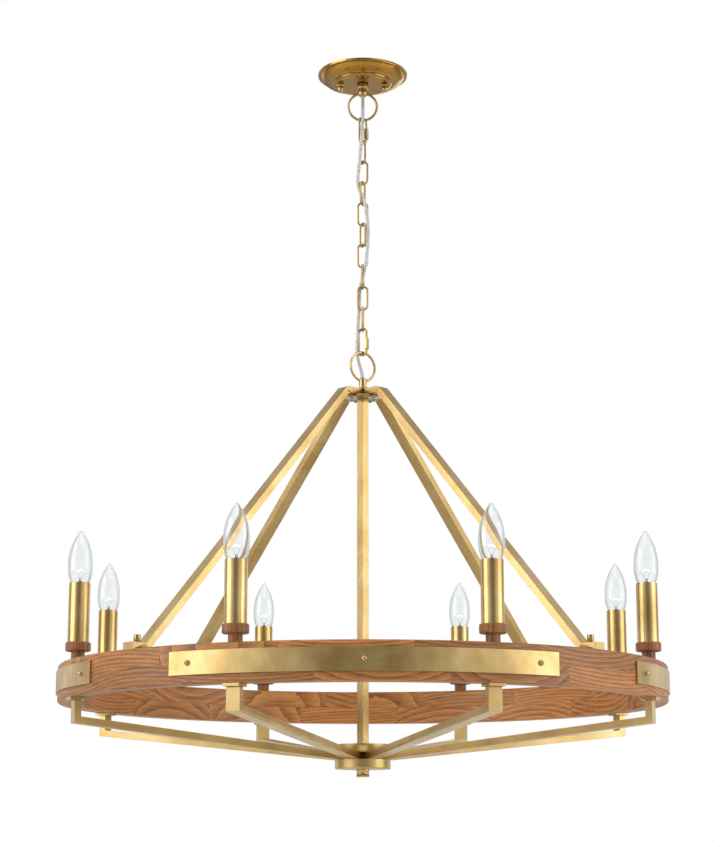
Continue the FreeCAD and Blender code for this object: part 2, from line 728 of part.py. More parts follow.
def rim_holes():
    """All the holes in the ring, each with its azimuth."""
    holes = [(az, rod(PIPE_R + PLAY, RIM_LOW - 1, RIM_TOP + 1,
                      place(az, CANDLE_CIRCLE_R, 0))) for az in CANDLES]
    holes += [(az, rod(FOOT_BOLT_R + PLAY, RIM_TOP - FOOT_BOLT_DEPTH - PLAY, RIM_TOP + 1,
                       place(az, FOOT_NUT_AT, 0))) for az in ARMS]
    holes += [(az, screw_hole(az, BAND_SCREW_R + PLAY)) for az in band_screw_azimuths()]
    return holes


def rim_blocks():
    """The ring's wooden blocks: two courses, the joints of one off those of the other."""
    inner = RIM_R - RIM_WIDTH
    e = RIM_EDGE
    middle = (RIM_LOW + RIM_TOP) / 2
    courses = [
        (RIM_TURN, [(inner + e, RIM_LOW), (RIM_R - e, RIM_LOW), (RIM_R, RIM_LOW + e),
                    (RIM_R, middle), (inner, middle), (inner, RIM_LOW + e)]),
        (-RIM_TURN, [(inner, middle), (RIM_R, middle), (RIM_R, RIM_TOP - e),
                     (RIM_R - e, RIM_TOP), (inner + e, RIM_TOP), (inner, RIM_TOP - e)]),
    ]
    step = 360.0 / RIM_BLOCKS
    holes = rim_holes()
    blocks = []
    for turn, outline in courses:
        points = [Vector(r, 0, z) for r, z in outline]
        plain = Part.Face(Part.makePolygon(points + points[:1])).revolve(
            Vector(0, 0, 0), UP, step)
        for i in range(RIM_BLOCKS):
            azimuth = step * i + turn
            rim_block = turned_about_z(plain, azimuth - 90 - step / 2)
            near = [hole for az, hole in holes
                    if abs((az - azimuth + 180) % 360 - 180) < step / 2 + 1.5]
            blocks.append(rim_block.cut(near) if near else rim_block)
    return group(blocks)


def brass_bands():
    """Four curved brass straps on the ring's outer face."""
    r = RIM_R + BAND_GAP
    low, high = band_middle_z() - BAND_HEIGHT / 2, band_middle_z() + BAND_HEIGHT / 2
    section = Part.makePolygon([Vector(r, 0, low), Vector(r + BAND_THICK, 0, low),
                                Vector(r + BAND_THICK, 0, high), Vector(r, 0, high),
                                Vector(r, 0, low)])
    strap = Part.Face(section).revolve(Vector(0, 0, 0), UP, 2 * BAND_HALF_ANGLE)
    bands = []
    for i in range(BAND_COUNT):
        middle = 360.0 / BAND_COUNT * i
        band = turned_about_z(strap, middle - 90 - BAND_HALF_ANGLE)
        holes = [screw_hole(middle + a, BAND_SCREW_R + PLAY) for a in BAND_SCREW_ANGLES]
        bands.append(band.cut(holes))
    return group(bands)


def band_screws():
    """Round-headed screws through the bands."""
    screws = []
    seat = RIM_R + BAND_GAP + BAND_THICK
    for az in band_screw_azimuths():
        shank_start = place(az, RIM_R - BAND_SCREW_LENGTH + 1, band_middle_z())
        shank = Part.makeCylinder(BAND_SCREW_R, seat - RIM_R + BAND_SCREW_LENGTH - 1,
                                  shank_start, place(az, 1, 0))
        ball = Part.makeSphere(BAND_HEAD_R, place(az, seat, band_middle_z()),
                               place(az, 1, 0), 0, 90, 360)
        screws.append(ball.fuse(shank).removeSplitter())
    return group(screws)


# ---------------------------------------------------------------- candles

def at_candles(make):
    """One solid at each candle."""
    return group([make(place(az, CANDLE_CIRCLE_R, 0)) for az in CANDLES])


def candle_necks():
    return at_candles(lambda at: tube(NECK_R, PIPE_R + PLAY, RIM_TOP, CUP_LOW, at))


def candle_cups():
    e = CUP_EDGE
    arc = e * (1 - math.sqrt(0.5))

    def cup(at):
        solid = turned([(0, CUP_LOW), (CUP_R - e, CUP_LOW),
                        (CUP_R, CUP_LOW + e, "arc", CUP_R - arc, CUP_LOW + arc),
                        (CUP_R, CUP_TOP - e),
                        (CUP_R - e, CUP_TOP, "arc", CUP_R - arc, CUP_TOP - arc),
                        (0, CUP_TOP)], at)
        return solid.cut(rod(PIPE_R + PLAY, CUP_LOW - 1, CUP_TOP + 1, at))

    return at_candles(cup)


def candle_nipples():
    """Threaded pipes that hold socket, cup, neck, ring and plate together."""
    top = CUP_TOP + SOCKET_COLLAR - NIPPLE_SHORT
    return at_candles(lambda at: tube(PIPE_R, PIPE_BORE_R, PLATE_LOW, top, at))


def candle_sockets():
    """Moulded candelabra sockets, standing on the nipples inside the sleeves."""
    def socket(at):
        collar_top = CUP_TOP + SOCKET_COLLAR
        body = turned([(0, CUP_TOP), (SOCKET_COLLAR_R, CUP_TOP), (SOCKET_COLLAR_R, collar_top),
                       (SOCKET_NECK_R, collar_top + SOCKET_TAPER),
                       (SOCKET_NECK_R, SOCKET_LOW - SOCKET_SHOULDER),
                       (SOCKET_R, SOCKET_LOW), (SOCKET_R, SOCKET_TOP), (0, SOCKET_TOP)], at)
        return body.cut([rod(PIPE_R + PLAY, CUP_TOP - 1, collar_top - NIPPLE_SHORT + PLAY, at),
                         rod(LEAD_R + 2 * PLAY, collar_top - NIPPLE_SHORT - 2,
                             SOCKET_LOW + LEAD_ENTRY + 1, at),
                         rod(SCREW_BASE_R + SOCKET_PLAY, WELL_LOW, SOCKET_TOP + 1, at)])

    return at_candles(socket)


def candle_sleeves():
    return at_candles(lambda at: tube(SLEEVE_R, SLEEVE_R - SLEEVE_WALL, CUP_TOP,
                                      SLEEVE_TOP, at))


def bulb(az):
    """A clear pointed bulb: its glass, and its screw base with the contact."""
    at = place(az, CANDLE_CIRCLE_R, 0)
    widest = SLEEVE_TOP + BULB_WIDEST
    tip = SLEEVE_TOP + BULB_RISE

    def wall(inset):
        """The glass's profile from the neck to the tip, so far inside its outer form."""
        r, tip_r, neck_r = BULB_R - inset, BULB_TIP_R - inset * 0.6, BULB_NECK_R - inset
        return [(neck_r, BASE_TOP), (neck_r, BASE_TOP + 1.0),
                (r, widest, BULB_R * 0.80 - inset, SLEEVE_TOP + BULB_WIDEST * 0.29),
                (tip_r, tip - 2.2 - inset * 1.5, BULB_R * 0.83 - inset,
                 widest + (tip - widest) * 0.49),
                (0.5, tip - inset, (tip_r + 0.5) * 0.62, tip - 0.7 - inset)]

    outer, inner = wall(0), wall(BULB_GLASS)
    outline = [outer[0], outer[1]]
    outline += [(r, z, "arc", r_mid, z_mid) for r, z, r_mid, z_mid in outer[2:]]
    outline += [(0, tip), (0, tip - BULB_GLASS), (inner[-1][0], inner[-1][1])]
    for upper, lower in zip(inner[:1:-1], inner[-2:0:-1]):
        outline.append((lower[0], lower[1], "arc", upper[2], upper[3]))
    outline.append(inner[0])
    envelope = turned(outline, at)
    base = turned([(0, BASE_LOW), (2.6, BASE_LOW), (2.6, BASE_LOW + 1.5),
                   (SCREW_BASE_R - 0.9, BASE_LOW + 3.5), (SCREW_BASE_R, BASE_LOW + 4.5),
                   (SCREW_BASE_R, BASE_TOP), (0, BASE_TOP)], at)
    return group([envelope, base])


# ---------------------------------------------------------------- spokes, bottom hub

def spoke_path():
    """The middle line of a spoke: level in the hub, sloping out, then up under a candle."""
    half = BAR_THICK / 2
    level = PAN_TOP + half
    corner_z = RIM_LOW - POST_DROP
    reach = CANDLE_CIRCLE_R + half - SPOKE_BEND
    slope = math.atan2(corner_z - level, reach)
    for _ in range(8):
        slope = math.atan2(corner_z + half / math.cos(slope) - level, reach)
    rise = (CANDLE_CIRCLE_R - SPOKE_BEND) * math.tan(slope)
    return [Vector(SPOKE_IN, 0, level), Vector(SPOKE_BEND, 0, level),
            Vector(CANDLE_CIRCLE_R, 0, level + rise),
            Vector(CANDLE_CIRCLE_R, 0, PLATE_LOW)], slope


def lower_arms():
    """Eight spokes of bent and mitred rectangular tube."""
    path, _ = spoke_path()
    bends = [0, 0, 0, 0]
    outer = flat_bar(path, bends, BAR_THICK, BAR_WIDTH)
    hollow = flat_bar(along(path, 1.0, 1.0), bends,
                      BAR_THICK - 2 * BAR_WALL, BAR_WIDTH - 2 * BAR_WALL)
    spoke = outer.cut(hollow)
    return group([to_azimuth(spoke, az) for az in CANDLES])


def arm_plates():
    """Square plates between the spokes and the ring's underside."""
    plate = block(PLATE_SIDE, PLATE_SIDE, PLATE_LOW, RIM_LOW)
    plate = plate.cut(rod(PIPE_R + PLAY, PLATE_LOW - 1, RIM_LOW + 1))
    plate.translate(Vector(CANDLE_CIRCLE_R, 0, 0))
    return group([to_azimuth(plate, az) for az in CANDLES])


def arm_leads():
    """A two-core lead inside each spoke, up through the nipple to the socket."""
    path, slope = spoke_path()
    bend, corner = path[1], path[2]
    back = Vector(-math.cos(slope), 0, -math.sin(slope))
    inward = Vector(-1, 0, 0)
    points = [path[0] + inward * 2.5, bend, corner + back * LEAD_ROUND + UP * 0.4,
              corner, corner + UP * LEAD_ROUND + inward * 0.3,
              Vector(CANDLE_CIRCLE_R, 0, SOCKET_LOW + LEAD_ENTRY)]
    lead = round_tube(points, LEAD_R, "arm_lead")
    return group([to_azimuth(lead, az) for az in CANDLES])


def lead_splices():
    """Crimp caps in the pan, where the leads join the cord's cores."""
    caps = []
    z = PAN_LOW + PAN_WALL + SPLICE_R + 0.2
    for sign in (-1, 1):
        start = Vector(-SPLICE_LENGTH / 2, sign * SPLICE_AT, z)
        cap = Part.makeCylinder(SPLICE_R, SPLICE_LENGTH, start, Vector(1, 0, 0))
        caps.append(cap.makeChamfer(0.8, [e for e in cap.Edges
                                          if abs(e.BoundBox.XLength) < 1e-6]))
    return group(caps)


def bottom_hub_cover():
    """The upper pan on the spokes: a flat top and a side that draws in downwards."""
    low, high = COVER_LOW, COVER_TOP
    side_r = (COVER_R + COVER_FOOT_R) / 2 + 1.2
    side_z = (low + high) / 2 - 1.0

    def outline(inset):
        """The outer form for inset 0, the inner one for the wall's thickness."""
        drop = 1 if inset else 0
        return [(0, low - drop), (COVER_FOOT_R - inset, low - drop),
                (COVER_FOOT_R - inset, low),
                (COVER_R - inset, high - 1.5 - inset * 0.75, "arc", side_r - inset, side_z),
                (COVER_R - inset, high - inset), (0, high - inset)]

    pan = turned(outline(0)).cut(turned(outline(PAN_WALL)))
    return pan.cut(rod(PIPE_R + PLAY, low, high + 1))


def bottom_hub_spacer():
    spacer = tube(BOTTOM_SPACER_R, PIPE_R + PLAY, PAN_LOW + PAN_WALL, COVER_TOP - PAN_WALL)
    return spacer.cut(wire_window())


def bottom_hub_pan():
    """The lower pan, with the wiring room in it."""
    pan = turned([(0, PAN_LOW), (PAN_R - 1.5, PAN_LOW),
                  (PAN_R, PAN_LOW + 1.5, "arc", PAN_R - 0.44, PAN_LOW + 0.44),
                  (PAN_R, PAN_TOP), (0, PAN_TOP)])
    hollow = rod(PAN_R - PAN_WALL, PAN_LOW + PAN_WALL, PAN_TOP + 1)
    return pan.cut([hollow, rod(PIPE_R + PLAY, PAN_LOW - 1, PAN_TOP)])


def finial():
    """The turned end nut on the tie pipe."""
    low = PAN_LOW - FINIAL_HEIGHT
    nut = turned([(0, PAN_LOW), (FINIAL_R, PAN_LOW), (FINIAL_R, PAN_LOW - 1.6),
                  (FINIAL_R, low + 1.8, "arc", FINIAL_WAIST_R, (PAN_LOW + low) / 2),
                  (FINIAL_R - 0.8, low), (0, low)])
    return nut.cut(rod(PIPE_R + PLAY, PAN_LOW - FINIAL_HEIGHT * 0.6 - PLAY, PAN_LOW + 1))


# ---------------------------------------------------------------- all the nodes

def all_nodes():
    nodes = {
        "ceiling_crossbar": ceiling_crossbar(),
        "ground_screw": ground_screw(),
        "canopy": canopy(),
        "canopy_studs": canopy_studs(),
        "canopy_ball_nuts": canopy_ball_nuts(),
        "canopy_nipple": canopy_nipple(),
        "nipple_locknut": nipple_locknut(),
        "canopy_collar": canopy_collar(),
        "canopy_loop": canopy_loop(),
        "supply_cord": supply_cord(),
        "quick_link_top": quick_link(QUICK_TOP_Z, QUICK_TOP_TURN),
        "quick_link_top_nut": quick_link_nut(QUICK_TOP_Z, QUICK_TOP_TURN),
        "quick_link_bottom": quick_link(QUICK_BOTTOM_Z, QUICK_BOTTOM_TURN),
        "quick_link_bottom_nut": quick_link_nut(QUICK_BOTTOM_Z, QUICK_BOTTOM_TURN),
        "body_loop": body_loop(),
        "hub_top_plate": hub_top_plate(),
        "hub_top_spacer": hub_top_spacer(),
        "hub_top_disc": hub_top_disc(),
        "hub_arm_screws": hub_arm_screws(),
        "upper_arms": upper_arms(),
        "foot_nuts": foot_nuts(),
        "foot_bolts": foot_bolts(),
        "stem_tube": stem_tube(),
        "tie_pipe": tie_pipe(),
        "stem_lead": stem_lead(),
        "rim_blocks": rim_blocks(),
        "brass_bands": brass_bands(),
        "band_screws": band_screws(),
        "candle_necks": candle_necks(),
        "candle_cups": candle_cups(),
        "candle_nipples": candle_nipples(),
        "candle_sockets": candle_sockets(),
        "candle_sleeves": candle_sleeves(),
        "lower_arms": lower_arms(),
        "arm_plates": arm_plates(),
        "arm_leads": arm_leads(),
        "lead_splices": lead_splices(),
        "bottom_hub_cover": bottom_hub_cover(),
        "bottom_hub_spacer": bottom_hub_spacer(),
        "bottom_hub_pan": bottom_hub_pan(),
        "finial": finial(),
    }
    for i, (z, turn) in enumerate(zip(LINK_ZS, LINK_TURNS), 1):
        nodes[f"chain_link_{i}"] = oval_link(LINK_HALF, LINK_BEND_R, LINK_WIRE_R, z, turn)
    for i, az in enumerate(CANDLES, 1):
        nodes[f"bulb_{i}"] = bulb(az)
    return nodes


def main():
    os.makedirs("parts", exist_ok=True)
    for name, shape in all_nodes().items():
        if not shape.isValid():
            print("not valid:", name)
        shape.exportStep(f"parts/{name}.step")
    print("hub top", round(HUB_TOP, 2), "ring top", round(RIM_TOP, 2),
          "lowest", round(PAN_LOW - FINIAL_HEIGHT, 2))


main()
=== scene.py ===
# %% [markdown]
# A wagon wheel chandelier hangs by its chain from a ceiling canopy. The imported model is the
# frame: it holds every piece of metal and wood at its real place, in metres, with the ceiling
# at z = 0. The scene could model all of that again, but the solids have the right shapes
# already. So they stay and get their finishes here. Only the cord and the bulbs are built
# anew: the one has to bend with the chain, and the others have to be hollow and clear.

# %% The frame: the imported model, in metres
import math

import bpy
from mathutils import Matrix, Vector


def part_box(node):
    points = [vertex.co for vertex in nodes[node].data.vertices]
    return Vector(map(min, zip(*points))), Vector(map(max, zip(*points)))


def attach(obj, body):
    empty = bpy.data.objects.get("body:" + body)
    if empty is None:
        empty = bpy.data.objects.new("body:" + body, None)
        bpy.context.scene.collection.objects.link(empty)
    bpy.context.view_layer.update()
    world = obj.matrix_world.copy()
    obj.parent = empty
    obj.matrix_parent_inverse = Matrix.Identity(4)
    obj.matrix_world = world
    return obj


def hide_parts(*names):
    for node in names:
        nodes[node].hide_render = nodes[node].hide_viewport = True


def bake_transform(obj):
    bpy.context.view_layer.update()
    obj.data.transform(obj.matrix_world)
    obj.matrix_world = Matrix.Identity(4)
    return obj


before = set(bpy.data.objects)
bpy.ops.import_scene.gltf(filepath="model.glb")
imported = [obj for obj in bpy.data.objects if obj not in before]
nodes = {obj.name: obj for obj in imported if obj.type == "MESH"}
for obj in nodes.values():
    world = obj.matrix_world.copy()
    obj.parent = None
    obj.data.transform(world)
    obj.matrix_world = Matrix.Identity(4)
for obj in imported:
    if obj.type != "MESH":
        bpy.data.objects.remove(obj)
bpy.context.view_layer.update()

# %% [markdown]
# The eye stands 3 m in front of the wheel, a little under it, and looks up by 12 degrees. A
# wide lens from nearer by would frame the object as well, but it would spread the front of the
# ring. A long lens from far off keeps the near and the far candles nearly the same size, as the
# photograph does.

# %% The camera, at the photograph's place
FOCAL_MM, SENSOR_MM = 84.19, 36.0
EYE_PLACE = (-0.0129, -2.9687, -1.2052)
EYE_TILT_DEG = 12.114
EYE_TURN = -0.0029
FAR_CLIP = 60.0
bpy.context.scene.view_settings.view_transform = "Standard"
lens = bpy.data.cameras.new("eye")
lens.lens, lens.sensor_width, lens.clip_end = FOCAL_MM, SENSOR_MM, FAR_CLIP
eye = bpy.data.objects.new("eye", lens)
eye.location = EYE_PLACE
eye.rotation_euler = (math.radians(90 + EYE_TILT_DEG), 0, EYE_TURN)
bpy.context.scene.collection.objects.link(eye)
bpy.context.scene.camera = eye
print("eye at", [round(v, 3) for v in eye.location])

# %% [markdown]
# The supply cord is a clear round jacket over tinned strands. It leaves the canopy's hollow
# nipple, crosses from side to side through the links and goes into the neck of the wheel's
# ring. It could be one long tube, but the chain swings at every link: so it is cut at the
# middle of each link, and each stretch crosses the one joint that it passes. Its line is
# a NURBS curve, which the points pull smooth, as a cord under light tension is.

# %% The cord's own line
CORD_D = 0.0055
CORD_ROUTE = [  # millimetres, from the canopy down
    (0, 0, -31), (0.1, -1.2, -47), (0, -5.6, -64), (-0.2, -7.6, -80), (-1.1, -8.1, -96),
    (-2.2, -8.8, -113), (-3.7, -7.3, -130), (-5.0, -6.3, -147), (-6.6, -6.0, -164),
    (-8.5, -4.7, -181), (-3.2, -0.4, -198), (3.3, -5.6, -215), (5.8, -5.4, -232),
    (8.2, -4.8, -249), (8.5, -4.3, -266), (8.3, -4.7, -283), (6.3, -5.3, -300),
    (4.5, -5.9, -317), (0.1, -0.2, -334), (-4.3, 5.6, -351), (-5.2, 5.4, -368),
    (-5.9, 5.2, -386), (-6.6, 1.6, -403), (-7.9, -0.6, -421), (-8.4, -0.3, -439),
    (-9.0, 0.5, -457), (-6.0, 0.5, -473), (-1.3, 0.2, -487), (0, 0, -500), (0.2, 0.1, -511),
]
POINTS_PER_SPAN = 8


def spline_points(name, route):
    """Points along the smooth line that the route pulls into shape, in metres."""
    curve = bpy.data.curves.new(name, "CURVE")
    curve.dimensions, curve.resolution_u = "3D", POINTS_PER_SPAN
    spline = curve.splines.new("NURBS")
    spline.points.add(len(route) - 1)
    for point, place in zip(spline.points, route):
        point.co = (*[v / 1000 for v in place], 1)
    spline.order_u, spline.use_endpoint_u = 3, True
    holder = bpy.data.objects.new(name, curve)
    mesh = bpy.data.meshes.new_from_object(holder)
    points = [v.co.copy() for v in mesh.vertices]
    bpy.data.objects.remove(holder)
    bpy.data.curves.remove(curve)
    bpy.data.meshes.remove(mesh)
    return points


def path_length(points):
    """The length of the line through the points."""
    return sum((b - a).length for a, b in zip(points, points[1:]))


cord_line = spline_points("cord_line", CORD_ROUTE)
print("cord", len(cord_line), "points", round(path_length(cord_line), 4), "m")

# %% [markdown]
# Cord, wires and filament are round rods that follow a line, and the bulb's glass and cap are
# turned forms. Curves with a bevel and a Screw modifier could make both. Plain mesh code is
# used instead, because it gives the tube a map of its length and its turn, which the cord's
# twist needs, and leaves nothing for the export to convert.


# %% Helpers for pieces built point by point
def piece(name, verts, faces, smooth=True):
    """A mesh object in the frame."""
    mesh = bpy.data.meshes.new(name)
    mesh.from_pydata([tuple(v) for v in verts], [], faces)
    mesh.polygons.foreach_set("use_smooth", [smooth] * len(mesh.polygons))
    mesh.update()
    obj = bpy.data.objects.new(name, mesh)
    bpy.context.scene.collection.objects.link(obj)
    return obj


def skin(rings, sides, closed=False):
    """Faces over rings of points that lie one after the other, capped unless closed in a loop."""
    faces = []
    for i in range(rings if closed else rings - 1):
        j = (i + 1) % rings
        for k in range(sides):
            n = (k + 1) % sides
            faces.append((i * sides + k, i * sides + n, j * sides + n, j * sides + k))
    if not closed:
        last = (rings - 1) * sides
        faces += [tuple(reversed(range(sides))), tuple(range(last, last + sides))]
    return faces


def frames_along(points):
    """At each point, two directions square to the line that don't spin round it."""
    side, found = Vector((1, 0, 0)), []
    for i in range(len(points)):
        along = (points[min(i + 1, len(points) - 1)] - points[max(i - 1, 0)]).normalized()
        side = (side - along * side.dot(along)).normalized()
        found.append((side.copy(), along.cross(side)))
    return found


print("helpers: piece, skin, frames_along")


# %% Helpers for tubes and turned pieces
def tube(name, points, radius, sides, frames=None, start=0.0):
    """A closed tube along the points. Its map holds the way along it and the turn round it."""
    frames = frames or frames_along(points)
    verts, runs, way = [], [], start
    for i, (p, (a, b)) in enumerate(zip(points, frames)):
        way += (p - points[i - 1]).length if i else 0
        runs.append(way)
        for k in range(sides):
            t = 2 * math.pi * k / sides
            verts.append(p + (a * math.cos(t) + b * math.sin(t)) * radius)
    obj = piece(name, verts, skin(len(points), sides))
    for cap in obj.data.polygons[-2:]:
        cap.use_smooth = False
    layer = obj.data.uv_layers.new(name="way_and_turn")
    for face in obj.data.polygons[:-2]:
        ring, k = divmod(face.index, sides)
        for loop, (i, j) in zip(face.loop_indices, ((0, 0), (0, 1), (1, 1), (1, 0))):
            layer.data[loop].uv = (runs[ring + i], (k + j) / sides)
    return obj


def lathe(name, profile, centre, sides, closed=False):
    """(radius, height) points in metres, from the foot up, swept round an upright line."""
    verts = []
    for r, z in profile:
        for k in range(sides):
            t = 2 * math.pi * k / sides
            verts.append((centre.x + r * math.cos(t), centre.y + r * math.sin(t), z))
    return piece(name, verts, skin(len(profile), sides, closed))


print("helpers: tube, lathe")

# %% [markdown]
# Each stretch of cord starts and ends at the middle of a body and crosses the one pivot
# between them. A single skin with one bend at each pivot would look the same at rest, but a
# blend can only join two bodies, so there are twelve tubes that meet end to end, from the
# canopy's nipple to the wheel's neck. They share one set of side directions and one running
# length, so that no seam shows.

# %% The cord's twelve stretches, one across each joint of the chain
LINK_PITCH = 34.1
FIRST_LINK_PIVOT, FIRST_LINK_MIDDLE = -148.95, -164.2
CORD_SIDES = 20
CORD_JOINTS = [  # parent body, child body, height of the pivot, height of the stretch's end (mm)
    ("mount", "quick_link_top", -76.8, -93.85),
    ("quick_link_top", "chain_link_1", -114.95, -130.1),
    *[(f"chain_link_{k}", f"chain_link_{k + 1}",
       FIRST_LINK_PIVOT - LINK_PITCH * (k - 1), FIRST_LINK_MIDDLE - LINK_PITCH * (k - 1))
      for k in range(1, 9)],
    ("chain_link_9", "quick_link_bottom", -421.75, -439.15),
    ("quick_link_bottom", "wheel", -460.25, -511.0),
]
line_frames = frames_along(cord_line)
cords, first, way = [], 0, 0.0
for parent, child, pivot_mm, low_mm in CORD_JOINTS:
    pivot, low = pivot_mm / 1000, low_mm / 1000
    last = min(range(len(cord_line)), key=lambda i: abs(cord_line[i].z - low))
    part = cord_line[first:last + 1]
    length = path_length(part)
    stretch = tube(f"cord_{len(cords) + 1:02d}", part, CORD_D / 2, CORD_SIDES,
                   line_frames[first:last + 1], way)
    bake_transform(stretch)
    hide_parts("supply_cord")
    cords.append(stretch)
    first, way = last, way + length
print("cord stretches", len(cords), "together", round(way, 4), "m")

# %% [markdown]
# A finish is a small tree of shader nodes: a pattern, a ramp that gives it colours, and the
# main shader. Trees could be built by hand in the editor. Written out in code they stay
# readable if one helper adds a node, sets it and links it in a single line.


# %% Helpers for finishes
def tone(code):
    """An sRGB hex colour as the linear colour that a shader takes."""
    parts = [int(code[i:i + 2], 16) / 255 for i in (1, 3, 5)]
    return (*[c / 12.92 if c <= 0.04045 else ((c + 0.055) / 1.055) ** 2.4 for c in parts], 1.0)


def add(mat, kind, inputs=None, stops=None, **settings):
    """Adds a shader node, or takes one: inputs are values or what to link from."""
    tree = mat.node_tree
    node = tree.nodes.new("ShaderNode" + kind) if isinstance(kind, str) else kind
    for key, value in settings.items():
        setattr(node, key, value)
    for i, (place, colour) in enumerate(stops or []):
        spots = node.color_ramp.elements
        spot = spots[i] if i < 2 else spots.new(place)
        spot.position, spot.color = place, colour
    for key, value in (inputs or {}).items():
        if isinstance(value, bpy.types.Node):
            value = value.outputs[0]
        if isinstance(value, bpy.types.NodeSocket):
            tree.links.new(value, node.inputs[key])
        else:
            node.inputs[key].default_value = value
    return node


def surface(name):
    """A new material and its main shader."""
    mat = bpy.data.materials.new(name)
    mat.use_nodes = True
    return mat, mat.node_tree.nodes["Principled BSDF"]


def dress(mat, *names):
    """Gives CAD nodes or pieces this finish on every slot."""
    for name in names:
        data = (nodes.get(name) or bpy.data.objects[name]).data
        data.materials.clear()
        data.materials.append(mat)
        data.polygons.foreach_set("material_index", [0] * len(data.polygons))


print("helpers: tone, add, surface, dress")

# %% [markdown]
# The metal is brass, rubbed with a fine abrasive and lacquered: a pale gold with soft
# reflections. Rubbing leaves hair-fine lines along each piece, which stretch its highlights.
# An anisotropic shader could stretch them too, but it would need tangents on every solid. So
# the lines are noise, squeezed across the rub and drawn out along it, that stirs the gloss and
# the surface a little. Round pieces take theirs round the wheel's axis.

# %% Satin brass: how dense the lines are, per metre along X, Y and Z
RUB_UPRIGHT = (2400, 2400, 40)   # lines 0.4 mm wide and 25 mm long, upright
RUB_LEVEL = (300, 300, 2600)     # 3 mm long and 0.4 mm wide, level
RUB_ROUND = (6, 1500, 1500)      # a sixth of a radian long, 0.7 mm wide, round the axis
SCRATCHES = (700, 700, 700)      # 1.4 mm, every way
CLOUDS_PER_METRE = 18.0          # the lacquer's drift in tone, 55 mm across


def satin_brass(name, rub, pale="#C6AC78", deep="#AD905A", rough=0.3, groove=0.06):
    """Brass with fine rub lines of the density rub, which run round the axis for RUB_ROUND."""
    mat, shader = surface(name)
    place = add(mat, "TexCoord").outputs["Object"]
    if rub is RUB_ROUND:
        xyz = add(mat, "SeparateXYZ", {0: place})
        angle = add(mat, "Math", {0: xyz.outputs[0], 1: xyz.outputs[1]}, operation="ARCTAN2")
        reach = add(mat, "VectorMath", {0: place}, operation="LENGTH")
        place = add(mat, "CombineXYZ", {0: angle, 1: reach.outputs["Value"],
                                        2: xyz.outputs[2]}).outputs[0]
    lines = add(mat, "Mapping", {"Vector": place, "Scale": rub})
    hair = add(mat, "TexNoise", {"Vector": lines, "Scale": 1.0, "Detail": 3.0,
                                 "Roughness": 0.6})
    cloud = add(mat, "TexNoise", {"Vector": place, "Scale": CLOUDS_PER_METRE, "Detail": 2.0})
    hue = add(mat, "ValToRGB", {"Fac": cloud}, stops=[(0.3, tone(deep)), (0.7, tone(pale))])
    gloss = add(mat, "MapRange", {"Value": hair, "From Min": 0.25, "From Max": 0.75,
                                  "To Min": rough - 0.07, "To Max": rough + 0.09})
    grooves = add(mat, "Bump", {"Height": hair, "Strength": groove, "Distance": 0.0002})
    add(mat, shader, {"Base Color": hue, "Metallic": 1.0, "Roughness": gloss,
                      "Normal": grooves})
    return mat


dress(satin_brass("brass_rubbed_upright", RUB_UPRIGHT, rough=0.25),
      "stem_tube", "candle_sleeves", "finial")
dress(satin_brass("brass_rubbed_level", RUB_LEVEL),
      "upper_arms", "lower_arms", "arm_plates", "hub_top_plate", "hub_top_disc",
      "hub_top_spacer", "bottom_hub_cover", "bottom_hub_pan", "bottom_hub_spacer")
dress(satin_brass("brass_rubbed_round", RUB_ROUND), "brass_bands")
print("satin brass on the wheel's metal")

# %% [markdown]
# Chain, rings, nuts and screws are small pieces, tumbled and polished: the same brass with
# shorter scratches that run every way and a livelier gloss. Each could have its own finish,
# but they come out of one drum and look alike. The canopy is spun from sheet and polished
# brighter and deeper than the wheel's metal, with very shallow lines round its axis.

# %% Tumbled and polished brass
tumbled = satin_brass("brass_tumbled", SCRATCHES, pale="#BDA472", deep="#99804E", rough=0.22)
chain = [n for n in nodes if n.startswith(("chain_link", "quick_link"))]
dress(tumbled, *chain, "canopy_loop", "body_loop", "canopy_collar", "canopy_ball_nuts",
      "foot_nuts", "band_screws")
spun = satin_brass("brass_spun_canopy", RUB_ROUND, pale="#A9803A", deep="#9C7431",
                   rough=0.13, groove=0.015)
dress(spun, "canopy")
print("polished brass on", len(chain), "pieces of chain, the rings and the canopy")

# %% [markdown]
# Hidden hardware: zinc-plated steel with its cloudy spangle, a green ground screw, leads and
# crimp caps in plain plastic, and cream sockets. Real plating and moulding are never quite
# even. One soft noise for tone and gloss is enough for that, as little of it is ever seen.


# %% Zinc-plated steel, painted screw, jackets and sockets
def mottled(name, light, dark, per_metre, rough, metallic=0.0):
    """A plain hard surface whose tone and gloss drift a little from place to place."""
    mat, shader = surface(name)
    place = add(mat, "TexCoord").outputs["Object"]
    cloud = add(mat, "TexNoise", {"Vector": place, "Scale": per_metre, "Detail": 4.0})
    hue = add(mat, "ValToRGB", {"Fac": cloud}, stops=[(0.35, tone(dark)), (0.65, tone(light))])
    gloss = add(mat, "MapRange", {"Value": cloud, "To Min": rough - 0.08,
                                  "To Max": rough + 0.08})
    add(mat, shader, {"Base Color": hue, "Metallic": metallic, "Roughness": gloss})
    return mat


